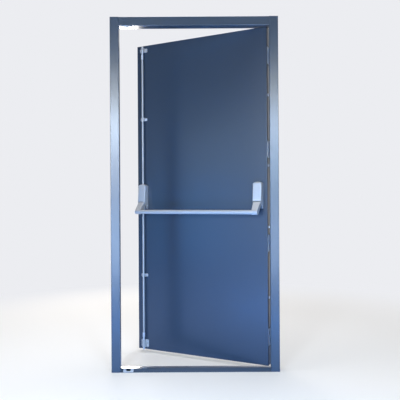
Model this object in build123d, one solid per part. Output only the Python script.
from build123d import *
import math
import os

# Fire exit door: a folded steel frame, a hinged steel leaf that opens outwards,
# and a push bar on the inside that works a bolt at the head and one at the threshold.
# X runs along the wall with the hinges at +X, Y runs from the inside to the outside, Z is up.
# The origin is the middle of the threshold's underside.
# The leaf is built shut and then swung open about its hinge pins.

# Frame
frame_width = 990.0
frame_height = 2090.0
frame_face = 53.0
frame_sheet = 1.5
frame_fold = 2.0
frame_lip = 15.0
stop_depth = 27.0
stop_overlap = 4.5
hinge_overlap = 12.0
fixing_hole_radius = 5.5
fixing_end = 195.0
fixing_inner_spacing = 600.0

# Threshold
threshold_nose = 2.0
threshold_bevel = 18.0
threshold_height = 18.0
threshold_back = 11.0

# Leaf
leaf_thickness = 50.0
leaf_gap = 3.4
leaf_seal_gap = 1.5
leaf_floor_gap = 5.0
leaf_sheet = 1.2
leaf_edge_radius = 2.0
leaf_open_angle = 24.5
stile_width = 40.0
stile_sheet = 2.0

# Hinges
hinge_count = 4
hinge_height = 100.0
hinge_end = 167.0
hinge_plate = 1.5
hinge_plate_depth = 38.0
hinge_barrel_radius = 6.0
hinge_barrel_standoff = 7.0
hinge_knuckle_gap = 0.4
hinge_pin_radius = 3.5
hinge_pin_clearance = 0.05
hinge_pin_head_radius = 5.0
hinge_pin_head = 2.0
knuckle_share = 0.4

# Dog bolts on the hinge edge
dog_bolt_radius = 5.0
dog_bolt_reach = 10.0
dog_bolt_root = 8.0
dog_bolt_collar_radius = 9.0
dog_bolt_collar = 2.0
dog_bolt_tip = 1.5
outer_dog_share = 0.42
inner_dog_share = 0.172
dog_socket_radius = 8.5

# Push bar cases
case_width = 54.0
case_height = 160.0
case_drop = 34.0
case_crown = 10.0
case_crown_depth = 33.0
case_brow_radius = 12.0
case_wall = 2.4
case_edge_radius = 4.0
case_lip_gap = 1.0
case_foot_depth = 16.0
active_inset = 50.0
idle_inset = 52.5
base_sheet = 2.5
base_gap = 0.2
ear_sheet = 2.0
ear_radius = 8.0
foot_tab_radius = 7.5

# Push bar and arms
bar_radius = 13.0
bar_wall = 1.5
bar_standoff = 76.0
bar_drop = 54.0
bar_socket_clearance = 0.05
bar_socket_end = 5.0
arm_width = 36.0
arm_gap = 0.3
arm_web = 3.0
arm_cheek = 6.0
arm_hub_radius = 11.0
arm_end_radius = 15.5
pivot_standoff = 31.0
pivot_height = 992.0
pivot_radius = 4.0
pivot_clearance = 0.05
bar_travel = 40.0
tail_length = 24.0
tail_radius = 4.0
lift_pin_radius = 2.0
spring_wall = 3.0
spring_length = 18.0
spring_clearance = 0.2

# Rocker that turns the bottom rod's stroke round for the top rod
rocker_rise = 32.0
rocker_arm = 17.0
rocker_sheet = 3.0
rocker_gap = 0.5
rocker_end_radius = 5.0
rocker_pin_radius = 2.5
rocker_stud_radius = 4.0
rocker_stud_head_radius = 6.0
rocker_stud_head = 1.5
yoke_sheet = 3.0
yoke_gap = 0.5
yoke_margin = 3.0
yoke_slot_clearance = 0.4
yoke_boss_radius = 9.0
yoke_boss_height = 20.0
yoke_boss_floor = 4.0
top_boss_rise = 26.0
bottom_boss_drop = 36.0
fork_prong = 4.0
fork_width = 12.0

# Rods, bolts and guides
rod_radius = 6.0
rod_standoff = 18.0
rod_fit = 0.05
rod_clearance = 0.4
top_tip_gap = 12.0
bottom_tip_gap = 2.0
bolt_nose = 4.0
bolt_nose_radius = 3.5
collar_radius = 8.0
collar_length = 28.0
collar_floor = 6.0
collar_play = 4.0
guide_sheet = 2.0
guide_wall = 3.5
guide_width = 50.0
guide_height = 20.0
guide_corner_share = 0.4
upper_guide_share = 0.492
lower_guide_share = 0.508
top_guide_width = 56.0
top_guide_height = 25.0
top_guide_gap = 21.0
bottom_guide_width = 56.0
bottom_guide_height = 50.0
bottom_guide_gap = 15.0

# Keeps in the frame
keep_length = 60.0
keep_sheet = 2.0
head_keep_sheet = 5.0
keep_margin = 1.5
keep_slot_length = 26.0
keep_slot_width = 14.0
keep_corner_share = 0.33

# Worked out places
frame_depth = stop_depth + leaf_seal_gap + leaf_thickness
frame_half = frame_width / 2
front_y = -frame_depth / 2
back_y = frame_depth / 2
stop_y = front_y + stop_depth
leaf_y = stop_y + leaf_seal_gap
leaf_mid_y = leaf_y + leaf_thickness / 2
stop_x = frame_half - frame_face
leaf_x = stop_x + hinge_overlap
rebate_x = leaf_x + leaf_gap
lock_x = stop_x + stop_overlap
lock_rebate_x = lock_x + leaf_gap
stop_z = frame_height - frame_face
leaf_top = stop_z + stop_overlap
rebate_z = leaf_top + leaf_gap
leaf_bottom = threshold_height + leaf_floor_gap
leaf_inner_x = leaf_x - leaf_sheet
lock_inner_x = lock_x - leaf_sheet
pin_x = leaf_x + leaf_gap / 2
pin_y = back_y + hinge_barrel_standoff
active_x = -lock_x + active_inset
idle_x = leaf_x - idle_inset
rod_y = leaf_y - rod_standoff
base_y = leaf_y - base_sheet
pivot_y = leaf_y - pivot_standoff
bar_y = leaf_y - bar_standoff
case_bottom = pivot_height - case_drop
case_top = case_bottom + case_height
case_lip = pivot_height + arm_hub_radius + case_lip_gap
case_lip_depth = pivot_standoff + arm_hub_radius
bar_height = pivot_height - bar_drop
rocker_height = pivot_height + rocker_rise
top_boss_height = rocker_height + top_boss_rise
bottom_boss_height = pivot_height - bottom_boss_drop
bottom_boss_top = bottom_boss_height + yoke_boss_height
ear_outer = case_width / 2 - case_wall - base_gap
arm_top_half = ear_outer - ear_sheet - arm_gap
tail_rise = bar_travel / 2
lift_pin_y = pivot_y + tail_length * math.cos(math.radians(tail_rise))
lift_pin_z = pivot_height + tail_length * math.sin(math.radians(tail_rise))
throw = 2 * tail_length * math.sin(math.radians(tail_rise))
rocker_tilt = math.degrees(math.asin(throw / 2 / rocker_arm))
rocker_front = base_y - rocker_gap - rocker_sheet
stud_front = rocker_front - rocker_gap - rocker_stud_head
yoke_back = stud_front - yoke_gap
yoke_front = yoke_back - yoke_sheet
slot_half = rocker_pin_radius + yoke_slot_clearance
rocker_pin_in = rocker_arm * math.cos(math.radians(rocker_tilt))
tail_inner = arm_top_half - arm_cheek
top_tip = leaf_top - top_tip_gap
bottom_tip = leaf_bottom + bottom_tip_gap
top_guide_top = leaf_top - top_guide_gap
top_guide_bottom = top_guide_top - top_guide_height
bottom_guide_bottom = leaf_bottom + bottom_guide_gap
bottom_guide_top = bottom_guide_bottom + bottom_guide_height
upper_guide_height = case_top + (top_guide_bottom - case_top) * upper_guide_share
lower_guide_height = case_bottom - (case_bottom - bottom_guide_top) * lower_guide_share
top_shoulder = top_guide_bottom - throw - collar_play
bottom_shoulder = bottom_guide_top + throw + collar_play


def block(x_range, y_range, z_range):
    """A box between two limits along each axis."""
    size = [limit[1] - limit[0] for limit in (x_range, y_range, z_range)]
    middle = [(limit[1] + limit[0]) / 2 for limit in (x_range, y_range, z_range)]
    return Pos(*middle) * Box(*size)


def upright(x, y, z_range, radius):
    """A round bar along Z."""
    return Pos(x, y, sum(z_range) / 2) * Cylinder(radius, z_range[1] - z_range[0])


def across(x_range, y, z, radius):
    """A round bar along X."""
    bar = Rot(0, 90, 0) * Cylinder(radius, x_range[1] - x_range[0])
    return Pos(sum(x_range) / 2, y, z) * bar


def through(x, y_range, z, radius):
    """A round bar along Y."""
    bar = Rot(90, 0, 0) * Cylinder(radius, y_range[1] - y_range[0])
    return Pos(x, sum(y_range) / 2, z) * bar


def side_plate(x_range, outline):
    """A plate square to X, from an outline drawn in Y and Z."""
    return Pos(x_range[0], 0, 0) * extrude(Plane.YZ * outline, x_range[1] - x_range[0])


def front_plate(y_range, outline):
    """A plate square to Y, from an outline drawn in X and Z."""
    plane = Plane((0, y_range[1], 0), x_dir=(1, 0, 0), z_dir=(0, -1, 0))
    return extrude(plane * outline, y_range[1] - y_range[0])


def link(start, start_radius, end, end_radius):
    """The outline of two circles joined by their outer tangents."""
    rings = [
        Pos(*start) * Edge.make_circle(start_radius),
        Pos(*end) * Edge.make_circle(end_radius),
    ]
    return make_hull(rings)


def folded_sheet(points):
    """The section of a sheet folded along the middle line of its thickness."""
    return trace(FilletPolyline(*points, radius=frame_fold), frame_sheet)


def swung_open(shape):
    """A leaf piece built shut, turned about the hinge pins."""
    return Pos(pin_x, pin_y, 0) * Rot(0, 0, -leaf_open_angle) * Pos(-pin_x, -pin_y, 0) * shape


def around(middle, size):
    """The two limits of a size laid out evenly about its middle."""
    return (middle - size / 2, middle + size / 2)


def hinge_step():
    """The distance from one hinge to the next."""
    return (leaf_top - leaf_bottom - 2 * hinge_end) / (hinge_count - 1)


def hinge_heights():
    """The middle height of each hinge, from the top hinge down."""
    return [leaf_top - hinge_end - hinge_step() * number for number in range(hinge_count)]


def dog_bolt_heights():
    """The heights of the dog bolts, from the top one down, each a share of the way between hinges."""
    hinges = hinge_heights()
    outer = hinge_step() * outer_dog_share
    inner = hinge_step() * inner_dog_share
    return [hinges[0] - outer, hinges[1] - inner, hinges[-2] + inner, hinges[-1] + outer]


def jamb_body(rebate):
    """A jamb's folded channel with its fixing holes through the stop, drawn on the hinge side."""
    half = frame_sheet / 2
    wall = frame_half - half
    section = folded_sheet([
        (wall, front_y + frame_lip),
        (wall, front_y + half),
        (stop_x + half, front_y + half),
        (stop_x + half, stop_y - half),
        (rebate + half, stop_y - half),
        (rebate + half, back_y - half),
        (wall, back_y - half),
        (wall, back_y - frame_lip),
    ])
    jamb = extrude(section, frame_height)
    hole_x = (stop_x - frame_fold, stop_x + frame_sheet + frame_fold)
    outer = (fixing_end, frame_height - fixing_end)
    for height in outer + around(frame_height / 2, fixing_inner_spacing):
        jamb -= across(hole_x, (front_y + stop_y) / 2, height, fixing_hole_radius)
    return jamb


def hinge_jamb():
    """The hinge side jamb, with a hole for each dog bolt."""
    jamb = jamb_body(rebate_x)
    hole_x = (rebate_x - frame_fold, rebate_x + frame_sheet + frame_fold)
    for height in dog_bolt_heights():
        jamb -= across(hole_x, leaf_mid_y, height, dog_socket_radius)
    return jamb


def stop_space(rebate):
    """The room that a jamb's stop takes up, drawn on the hinge side."""
    space = block((stop_x, rebate), (front_y, stop_y), (0, frame_height))
    return space + block((rebate - frame_fold, rebate), (stop_y, stop_y + frame_fold), (0, frame_height))


def between_jambs(section):
    """A length of frame coped round the stops of both jambs."""
    bar = side_plate((-lock_rebate_x, rebate_x), section)
    return bar - stop_space(rebate_x) - mirror(stop_space(lock_rebate_x), Plane.YZ)


def keep_slot(z_range):
    """The slot that a bolt shoots into."""
    slot = block(around(active_x, keep_slot_length), around(rod_y, keep_slot_width), z_range)
    return fillet(slot.edges().filter_by(Axis.Z), keep_slot_width * keep_corner_share)


def frame_head():
    """The head's folded channel, slotted for the top bolt."""
    half = frame_sheet / 2
    top = frame_height - half
    section = folded_sheet([
        (front_y + frame_lip, top),
        (front_y + half, top),
        (front_y + half, stop_z + half),
        (stop_y - half, stop_z + half),
        (stop_y - half, rebate_z + half),
        (back_y - half, rebate_z + half),
        (back_y - half, top),
        (back_y - frame_lip, top),
    ])
    return between_jambs(section) - keep_slot((stop_z - frame_fold, rebate_z))


def threshold_outline():
    """The outside of the threshold's section."""
    return make_face(Polyline(
        (front_y, 0),
        (front_y, threshold_nose),
        (front_y + threshold_bevel, threshold_height),
        (leaf_y, threshold_height),
        (back_y, threshold_back),
        (back_y, 0),
        close=True,
    ))


def frame_threshold():
    """The threshold's closed section, slotted for the bottom bolt."""
    outline = threshold_outline()
    bar = between_jambs(outline - offset(outline, -frame_sheet))
    return bar - keep_slot((frame_sheet, threshold_height + keep_sheet))


def head_keep():
    """The plate under the head that guides the top bolt in."""
    y_range = (front_y + keep_margin, stop_y - keep_margin)
    z_range = (stop_z - head_keep_sheet, stop_z)
    return block(around(active_x, keep_length), y_range, z_range) - keep_slot(z_range)


def threshold_keep():
    """The plate on the threshold's bevel that guides the bottom bolt in."""
    rise = threshold_height - threshold_nose
    slope = math.hypot(threshold_bevel, rise)
    out_y = -keep_sheet * rise / slope
    out_z = keep_sheet * threshold_bevel / slope
    outline = make_face(Polyline(
        (front_y, threshold_nose),
        (front_y + threshold_bevel, threshold_height),
        (front_y + threshold_bevel + out_y, threshold_height + out_z),
        (front_y + out_y, threshold_nose + out_z),
        close=True,
    ))
    plate = side_plate(around(active_x, keep_length), outline)
    return plate - keep_slot((0, threshold_height + keep_sheet))


def leaf_skin(inside):
    """One of the two folded skins, which meet in the middle of the leaf's thickness."""
    tray = block((-lock_x, leaf_x), (leaf_y, back_y), (leaf_bottom, leaf_top))
    face = tray.faces().sort_by(Axis.Y)[0 if inside else -1]
    tray = fillet(face.edges(), leaf_edge_radius)
    tray -= block(
        (-lock_inner_x, leaf_inner_x),
        (leaf_y + leaf_sheet, back_y - leaf_sheet),
        (leaf_bottom + leaf_sheet, leaf_top - leaf_sheet),
    )
    kept_y = (leaf_y, leaf_mid_y) if inside else (leaf_mid_y, back_y)
    tray &= block((-lock_x, leaf_x), kept_y, (leaf_bottom, leaf_top))
    for height in dog_bolt_heights():
        tray -= across((leaf_inner_x - leaf_sheet, leaf_x), leaf_mid_y, height, dog_bolt_radius)
    return tray


def leaf_stile(side):
    """The channel that stiffens a long edge of the leaf from the inside, +1 on the hinge side."""
    near = leaf_inner_x if side > 0 else lock_inner_x
    far = near - stile_width
    z_range = (leaf_bottom + leaf_sheet, leaf_top - leaf_sheet)
    channel = block((far, near), (leaf_y + leaf_sheet, back_y - leaf_sheet), z_range)
    inner = leaf_sheet + stile_sheet
    channel -= block((far, near - stile_sheet), (leaf_y + inner, back_y - inner), z_range)
    if side < 0:
        return mirror(channel, Plane.YZ)
    for height in dog_bolt_heights():
        channel -= across((far, near), leaf_mid_y, height, dog_bolt_radius)
    return channel


def leaf_core():
    """The filling between the two stiles."""
    return block(
        (stile_width - lock_inner_x, leaf_inner_x - stile_width),
        (leaf_y + leaf_sheet, back_y - leaf_sheet),
        (leaf_bottom + leaf_sheet, leaf_top - leaf_sheet),
    )


def knuckle_ranges(middle):
    """The heights of a hinge's three knuckles: bottom, middle and top."""
    half = hinge_height / 2
    inner = hinge_height * knuckle_share / 2
    return [
        (middle - half, middle - inner - hinge_knuckle_gap),
        (middle - inner, middle + inner),
        (middle + inner + hinge_knuckle_gap, middle + half),
    ]


def hinge_leaf(middle, on_frame):
    """One half of a butt hinge: a plate in the gap with its knuckles on the outside."""
    near = rebate_x - hinge_plate if on_frame else leaf_x
    x_range = (near, near + hinge_plate)
    barrel_y = pin_y - hinge_barrel_radius
    plate_y = (barrel_y - hinge_plate_depth, back_y)
    half = block(x_range, plate_y, around(middle, hinge_height))
    bottom, centre, top = knuckle_ranges(middle)
    for z_range in ((bottom, top) if on_frame else (centre,)):
        half += block(x_range, (back_y, pin_y), z_range)
        half += upright(pin_x, pin_y, z_range, hinge_barrel_radius)
    bore = around(middle, hinge_height)
    return half - upright(pin_x, pin_y, bore, hinge_pin_radius + hinge_pin_clearance)


def hinge_pin(middle):
    """A hinge pin with a flat head that rests on the top knuckle."""
    foot, top = around(middle, hinge_height)
    pin = upright(pin_x, pin_y, (foot, top), hinge_pin_radius)
    return pin + upright(pin_x, pin_y, (top, top + hinge_pin_head), hinge_pin_head_radius)


def dog_bolt(height):
    """A fixed pin on the hinge edge that enters the jamb as the leaf shuts."""
    tip = leaf_x + dog_bolt_reach
    root = leaf_inner_x - stile_sheet - dog_bolt_root
    pin = across((root, tip), leaf_mid_y, height, dog_bolt_radius)
    pin = chamfer(pin.edges().sort_by(Axis.X)[-1], dog_bolt_tip)
    collar = across((leaf_x, leaf_x + dog_bolt_collar), leaf_mid_y, height, dog_bolt_collar_radius)
    return pin + collar


def base_plate(x, drilled):
    """The plate behind a case, with two ears for the arm's pivot and a round tab at its foot."""
    z_range = (case_bottom, case_top - case_crown - case_wall)
    plate = block((x - ear_outer, x + ear_outer), (base_y, leaf_y), z_range)
    plate += through(x, (base_y, leaf_y), case_bottom, foot_tab_radius)
    ear = link((pivot_y, pivot_height), ear_radius, (base_y, pivot_height), ear_radius)
    ear = ear & Pos((base_y + pivot_y) / 2, pivot_height) * Rectangle(
        base_y - pivot_y + 2 * ear_radius, 2 * ear_radius)
    for near in (x - ear_outer, x + ear_outer - ear_sheet):
        plate += side_plate((near, near + ear_sheet), ear) & block(
            (near, near + ear_sheet), (pivot_y - ear_radius, leaf_y), z_range)
    bore = pivot_radius + pivot_clearance
    plate -= across((x - ear_outer, x + ear_outer), pivot_y, pivot_height, bore)
    if drilled:
        plate -= through(x, (base_y, leaf_y), rocker_height, rocker_stud_radius)
    return plate


def case_outline(inset):
    """A case seen from the front, with a crowned top, drawn in from its outer edge."""
    half = case_width / 2 - inset
    shoulder = case_top - case_crown - inset
    sides = Polyline((-half, shoulder), (-half, case_bottom), (half, case_bottom), (half, shoulder))
    crown = ThreePointArc((half, shoulder), (0, case_top - inset), (-half, shoulder))
    return make_face([sides, crown])


def case_profile(inset):
    """A case seen from the side: its front leans back from the lip to a rounded brow."""
    return make_face(Polyline(
        (leaf_y, case_bottom),
        (leaf_y, case_top - inset),
        (leaf_y - case_crown_depth + inset, case_top - inset),
        (leaf_y - case_lip_depth + inset, case_lip),
        (leaf_y - case_foot_depth, case_bottom),
        close=True,
    ))


def case_body(inset):
    """The form that a case's side and front outlines have in common, drawn in by a wall."""
    half = case_width / 2 - inset
    body = side_plate((-half, half), case_profile(inset))
    brow = body.edges().filter_by(Axis.X).group_by(Axis.Z)[-1].sort_by(Axis.Y)[0]
    body = fillet(brow, case_brow_radius - inset)
    return body & front_plate((leaf_y - case_lip_depth, leaf_y), case_outline(inset))


def case_cover(x, with_rod):
    """A case's shell, open at the back and foot, cut away in front for the arm."""
    shell = case_body(0)
    sides = shell.edges().filter_by(lambda edge: edge.bounding_box().max.Y < base_y)
    outer = [edge for edge in sides if abs(edge.center().X) > case_width / 2 - case_wall]
    shell = fillet([edge for edge in outer if edge.center().Z > case_lip], case_edge_radius)
    half = case_width / 2 - case_wall
    shell -= case_body(case_wall)
    shell -= block((-half, half), (leaf_y - case_lip_depth, leaf_y), (case_bottom, case_lip))
    shell = Pos(x, 0, 0) * shell
    if with_rod:
        shell -= upright(x, rod_y, (case_lip, case_top), rod_radius + rod_clearance)
    return shell


def pivot_shaft(x):
    """The shaft that an arm turns on, held by the two ears."""
    return across((x - ear_outer, x + ear_outer), pivot_y, pivot_height, pivot_radius)


def return_spring(x):
    """The close wound spring round a pivot shaft, as a plain sleeve."""
    inner = pivot_radius + spring_clearance
    sleeve = across(around(x, spring_length), pivot_y, pivot_height, inner + spring_wall)
    return sleeve - across(around(x, spring_length), pivot_y, pivot_height, inner)


def push_arm(x, socket_side, with_tail):
    """A cast arm: a channel open at its back, from the pivot down to the bar's socket."""
    pivot = (pivot_y, pivot_height)
    bar = (bar_y, bar_height)
    body = side_plate((-arm_top_half, arm_top_half), link(pivot, arm_hub_radius, bar, arm_end_radius))
    reach = math.dist(pivot, bar)
    tilt = math.degrees(math.atan2(pivot_y - bar_y, pivot_height - bar_height))
    taper = make_face(Polyline(
        (-arm_top_half, arm_hub_radius),
        (-arm_top_half, 0),
        (-arm_width / 2, -reach),
        (-arm_width / 2, -reach - arm_end_radius),
        (arm_width / 2, -reach - arm_end_radius),
        (arm_width / 2, -reach),
        (arm_top_half, 0),
        (arm_top_half, arm_hub_radius),
        close=True,
    ))
    blank = Rot(-tilt, 0, 0) * front_plate((-reach, reach), taper)
    body &= Pos(0, pivot_y, pivot_height) * blank
    # The hollow takes all of the middle but the front web and the bar's socket.
    hollow = make_face(Polyline(
        (-arm_hub_radius + arm_web, arm_hub_radius),
        (-arm_hub_radius + arm_web, arm_end_radius + arm_web - reach),
        (reach, arm_end_radius + arm_web - reach),
        (reach, arm_hub_radius),
        close=True,
    ))
    pocket = Rot(-tilt, 0, 0) * side_plate((-tail_inner, tail_inner), hollow)
    body -= Pos(0, pivot_y, pivot_height) * pocket
    if with_tail:
        tail = link(pivot, arm_hub_radius, (lift_pin_y, lift_pin_z), tail_radius)
        for near in (-arm_top_half, tail_inner):
            body += side_plate((near, near + arm_cheek), tail)
        body -= across((-arm_top_half, arm_top_half), lift_pin_y, lift_pin_z, lift_pin_radius)
    body -= across((-case_width, case_width), pivot_y, pivot_height, pivot_radius + pivot_clearance)
    socket_floor = arm_width / 2 - bar_socket_end
    socket = (-socket_floor, case_width) if socket_side > 0 else (-case_width, socket_floor)
    body -= across(socket, bar_y, bar_height, bar_radius + bar_socket_clearance)
    return Pos(x, 0, 0) * body


def push_bar():
    """The tube between the two arms."""
    end = arm_width / 2 - bar_socket_end
    x_range = (active_x - end, idle_x + end)
    tube = across(x_range, bar_y, bar_height, bar_radius)
    return tube - across(x_range, bar_y, bar_height, bar_radius - bar_wall)


def lift_pin():
    """The cross pin in the active arm's tails that lifts the bottom rod."""
    x_range = (active_x - arm_top_half, active_x + arm_top_half)
    return across(x_range, lift_pin_y, lift_pin_z, lift_pin_radius)


def rocker():
    """A two armed rocker that swings on a stud, with a pin at each end."""
    outline = link((-rocker_arm, 0), rocker_end_radius, (0, 0), rocker_stud_head_radius)
    outline += link((rocker_arm, 0), rocker_end_radius, (0, 0), rocker_stud_head_radius)
    plate = front_plate((rocker_front, rocker_front + rocker_sheet), outline)
    for side in (-1, 1):
        plate += through(side * rocker_arm, (yoke_front, rocker_front), 0, rocker_pin_radius)
    stud_y = (rocker_front, rocker_front + rocker_sheet)
    plate -= through(0, stud_y, 0, rocker_stud_radius + pivot_clearance)
    return Pos(active_x, 0, rocker_height) * Rot(0, -rocker_tilt, 0) * plate


def rocker_stud():
    """The headed stud that the rocker swings on."""
    stud = through(active_x, (stud_front, leaf_y), rocker_height, rocker_stud_radius)
    head = (stud_front, stud_front + rocker_stud_head)
    return stud + through(active_x, head, rocker_height, rocker_stud_head_radius)


def yoke_boss(z_range, bore):
    """The round boss that a rod is set into."""
    boss = upright(active_x, rod_y, z_range, yoke_boss_radius)
    boss += block(
        (active_x - yoke_boss_radius, active_x + yoke_boss_radius), (rod_y, yoke_back), z_range)
    return boss - upright(active_x, rod_y, bore, rod_radius + rod_fit)


def rocker_slot(side, pin_z):
    """The slot in which a rocker pin slides sideways as the rocker turns."""
    inner = active_x + side * (rocker_pin_in - slot_half - yoke_slot_clearance)
    outer = active_x + side * (rocker_arm + slot_half + yoke_slot_clearance)
    x_range = (min(inner, outer), max(inner, outer))
    return block(x_range, (yoke_front, yoke_back), (pin_z - slot_half, pin_z + slot_half))


def strap_limits(side):
    """The inner and outer edge of a yoke's strap on one side."""
    inner = rocker_pin_in - slot_half - yoke_slot_clearance - yoke_margin
    outer = rocker_arm + slot_half + yoke_slot_clearance + yoke_margin
    return sorted((active_x + side * inner, active_x + side * outer))


def top_yoke():
    """The top rod's end, which hangs on the rocker's lock side pin."""
    pin_z = rocker_height - throw / 2
    foot = pin_z - slot_half - yoke_margin
    head = top_boss_height + yoke_boss_height
    near, far = strap_limits(-1)
    strap = block((near, far), (yoke_front, yoke_back), (foot, head))
    bridge = (near, active_x + yoke_boss_radius)
    strap += block(bridge, (yoke_front, yoke_back), (top_boss_height, head))
    strap += yoke_boss((top_boss_height, head), (top_boss_height + yoke_boss_floor, head))
    return strap - rocker_slot(-1, pin_z)


def bottom_yoke():
    """The bottom rod's end: a fork round the lift pin and a strap to the rocker's other pin."""
    pin_z = rocker_height + throw / 2
    foot = pin_z - slot_half - yoke_margin
    spine_half = fork_width / 2
    spine = (active_x - spine_half, active_x + spine_half)
    near, far = strap_limits(1)
    top = pin_z + slot_half + yoke_margin
    yoke = block((near, far), (yoke_front, yoke_back), (foot, top))
    yoke += block((spine[0], far), (yoke_front, yoke_back), (foot, pin_z))
    yoke += block(spine, (yoke_front, yoke_back), (bottom_boss_height, foot + yoke_margin))
    fork_half = lift_pin_radius + yoke_slot_clearance
    prongs = (lift_pin_z - fork_half - fork_prong, lift_pin_z + fork_half + fork_prong)
    fork_back = base_y - rocker_gap
    yoke += block(spine, (yoke_front - fork_prong, fork_back), prongs)
    mouth = (lift_pin_z - fork_half, lift_pin_z + fork_half)
    yoke -= block(spine, (lift_pin_y - fork_half, fork_back), mouth)
    bore = (bottom_boss_height, bottom_boss_top - yoke_boss_floor)
    yoke += yoke_boss((bottom_boss_height, bottom_boss_top), bore)
    return yoke - rocker_slot(1, pin_z)


def rod(z_range):
    """A round rod on the leaf's inside face."""
    return upright(active_x, rod_y, z_range, rod_radius)


def bolt(tip, direction, shoulder):
    """A bolt with a tapered nose and a collar for its rod, +1 pointing up."""
    foot = shoulder - direction * collar_length
    nose = tip - direction * bolt_nose
    shank = upright(active_x, rod_y, sorted((foot, nose)), rod_radius)
    taper = Cone(rod_radius, bolt_nose_radius, bolt_nose)
    flip = Rot(0, 0, 0) if direction > 0 else Rot(180, 0, 0)
    shank += Pos(active_x, rod_y, (nose + tip) / 2) * flip * taper
    shank += upright(active_x, rod_y, sorted((foot, shoulder)), collar_radius)
    bore = sorted((foot, shoulder - direction * collar_floor))
    return shank - upright(active_x, rod_y, bore, rod_radius + rod_fit)


def rod_guide(width, z_range):
    """A saddle screwed to the leaf that a rod slides through."""
    outer = rod_radius + rod_clearance + guide_wall
    guide = block(around(active_x, width), (leaf_y - guide_sheet, leaf_y), z_range)
    corner = (width / 2 - outer) * guide_corner_share
    guide = fillet(guide.edges().filter_by(Axis.Y), corner)
    guide += block(around(active_x, 2 * outer), (rod_y, leaf_y), z_range)
    guide += upright(active_x, rod_y, z_range, outer)
    return guide - upright(active_x, rod_y, z_range, rod_radius + rod_clearance)


fixed_pieces = {
    "frame_head": frame_head(),
    "frame_hinge_jamb": hinge_jamb(),
    "frame_lock_jamb": mirror(jamb_body(lock_rebate_x), Plane.YZ),
    "frame_threshold": frame_threshold(),
    "head_keep": head_keep(),
    "threshold_keep": threshold_keep(),
}
leaf_pieces = {
    "leaf_inner_skin": leaf_skin(True),
    "leaf_outer_skin": leaf_skin(False),
    "leaf_core": leaf_core(),
    "leaf_hinge_stile": leaf_stile(1),
    "leaf_lock_stile": leaf_stile(-1),
    "active_base_plate": base_plate(active_x, True),
    "active_cover": case_cover(active_x, True),
    "active_pivot_shaft": pivot_shaft(active_x),
    "active_return_spring": return_spring(active_x),
    "idle_base_plate": base_plate(idle_x, False),
    "idle_cover": case_cover(idle_x, False),
    "idle_pivot_shaft": pivot_shaft(idle_x),
    "idle_return_spring": return_spring(idle_x),
    "rocker_stud": rocker_stud(),
    "upper_rod_guide": rod_guide(guide_width, around(upper_guide_height, guide_height)),
    "lower_rod_guide": rod_guide(guide_width, around(lower_guide_height, guide_height)),
    "top_bolt_guide": rod_guide(top_guide_width, (top_guide_bottom, top_guide_top)),
    "bottom_bolt_guide": rod_guide(bottom_guide_width, (bottom_guide_bottom, bottom_guide_top)),
    "push_bar": push_bar(),
    "active_arm": push_arm(active_x, 1, True),
    "idle_arm": push_arm(idle_x, -1, False),
    "lift_pin": lift_pin(),
    "rocker": rocker(),
    "top_yoke": top_yoke(),
    "top_rod": rod((top_boss_height + yoke_boss_floor, top_shoulder - collar_floor)),
    "top_bolt": bolt(top_tip, 1, top_shoulder),
    "bottom_yoke": bottom_yoke(),
    "bottom_rod": rod((bottom_shoulder + collar_floor, bottom_boss_top - yoke_boss_floor)),
    "bottom_bolt": bolt(bottom_tip, -1, bottom_shoulder),
}
for number, middle in enumerate(hinge_heights(), start=1):
    fixed_pieces[f"hinge_{number}_frame_leaf"] = hinge_leaf(middle, True)
    fixed_pieces[f"hinge_{number}_pin"] = hinge_pin(middle)
    leaf_pieces[f"hinge_{number}_door_leaf"] = hinge_leaf(middle, False)
for number, height in enumerate(dog_bolt_heights(), start=1):
    leaf_pieces[f"dog_bolt_{number}"] = dog_bolt(height)

os.makedirs("parts", exist_ok=True)
for name, shape in fixed_pieces.items():
    export_step(shape, f"parts/{name}.step")
for name, shape in leaf_pieces.items():
    export_step(swung_open(shape), f"parts/{name}.step")
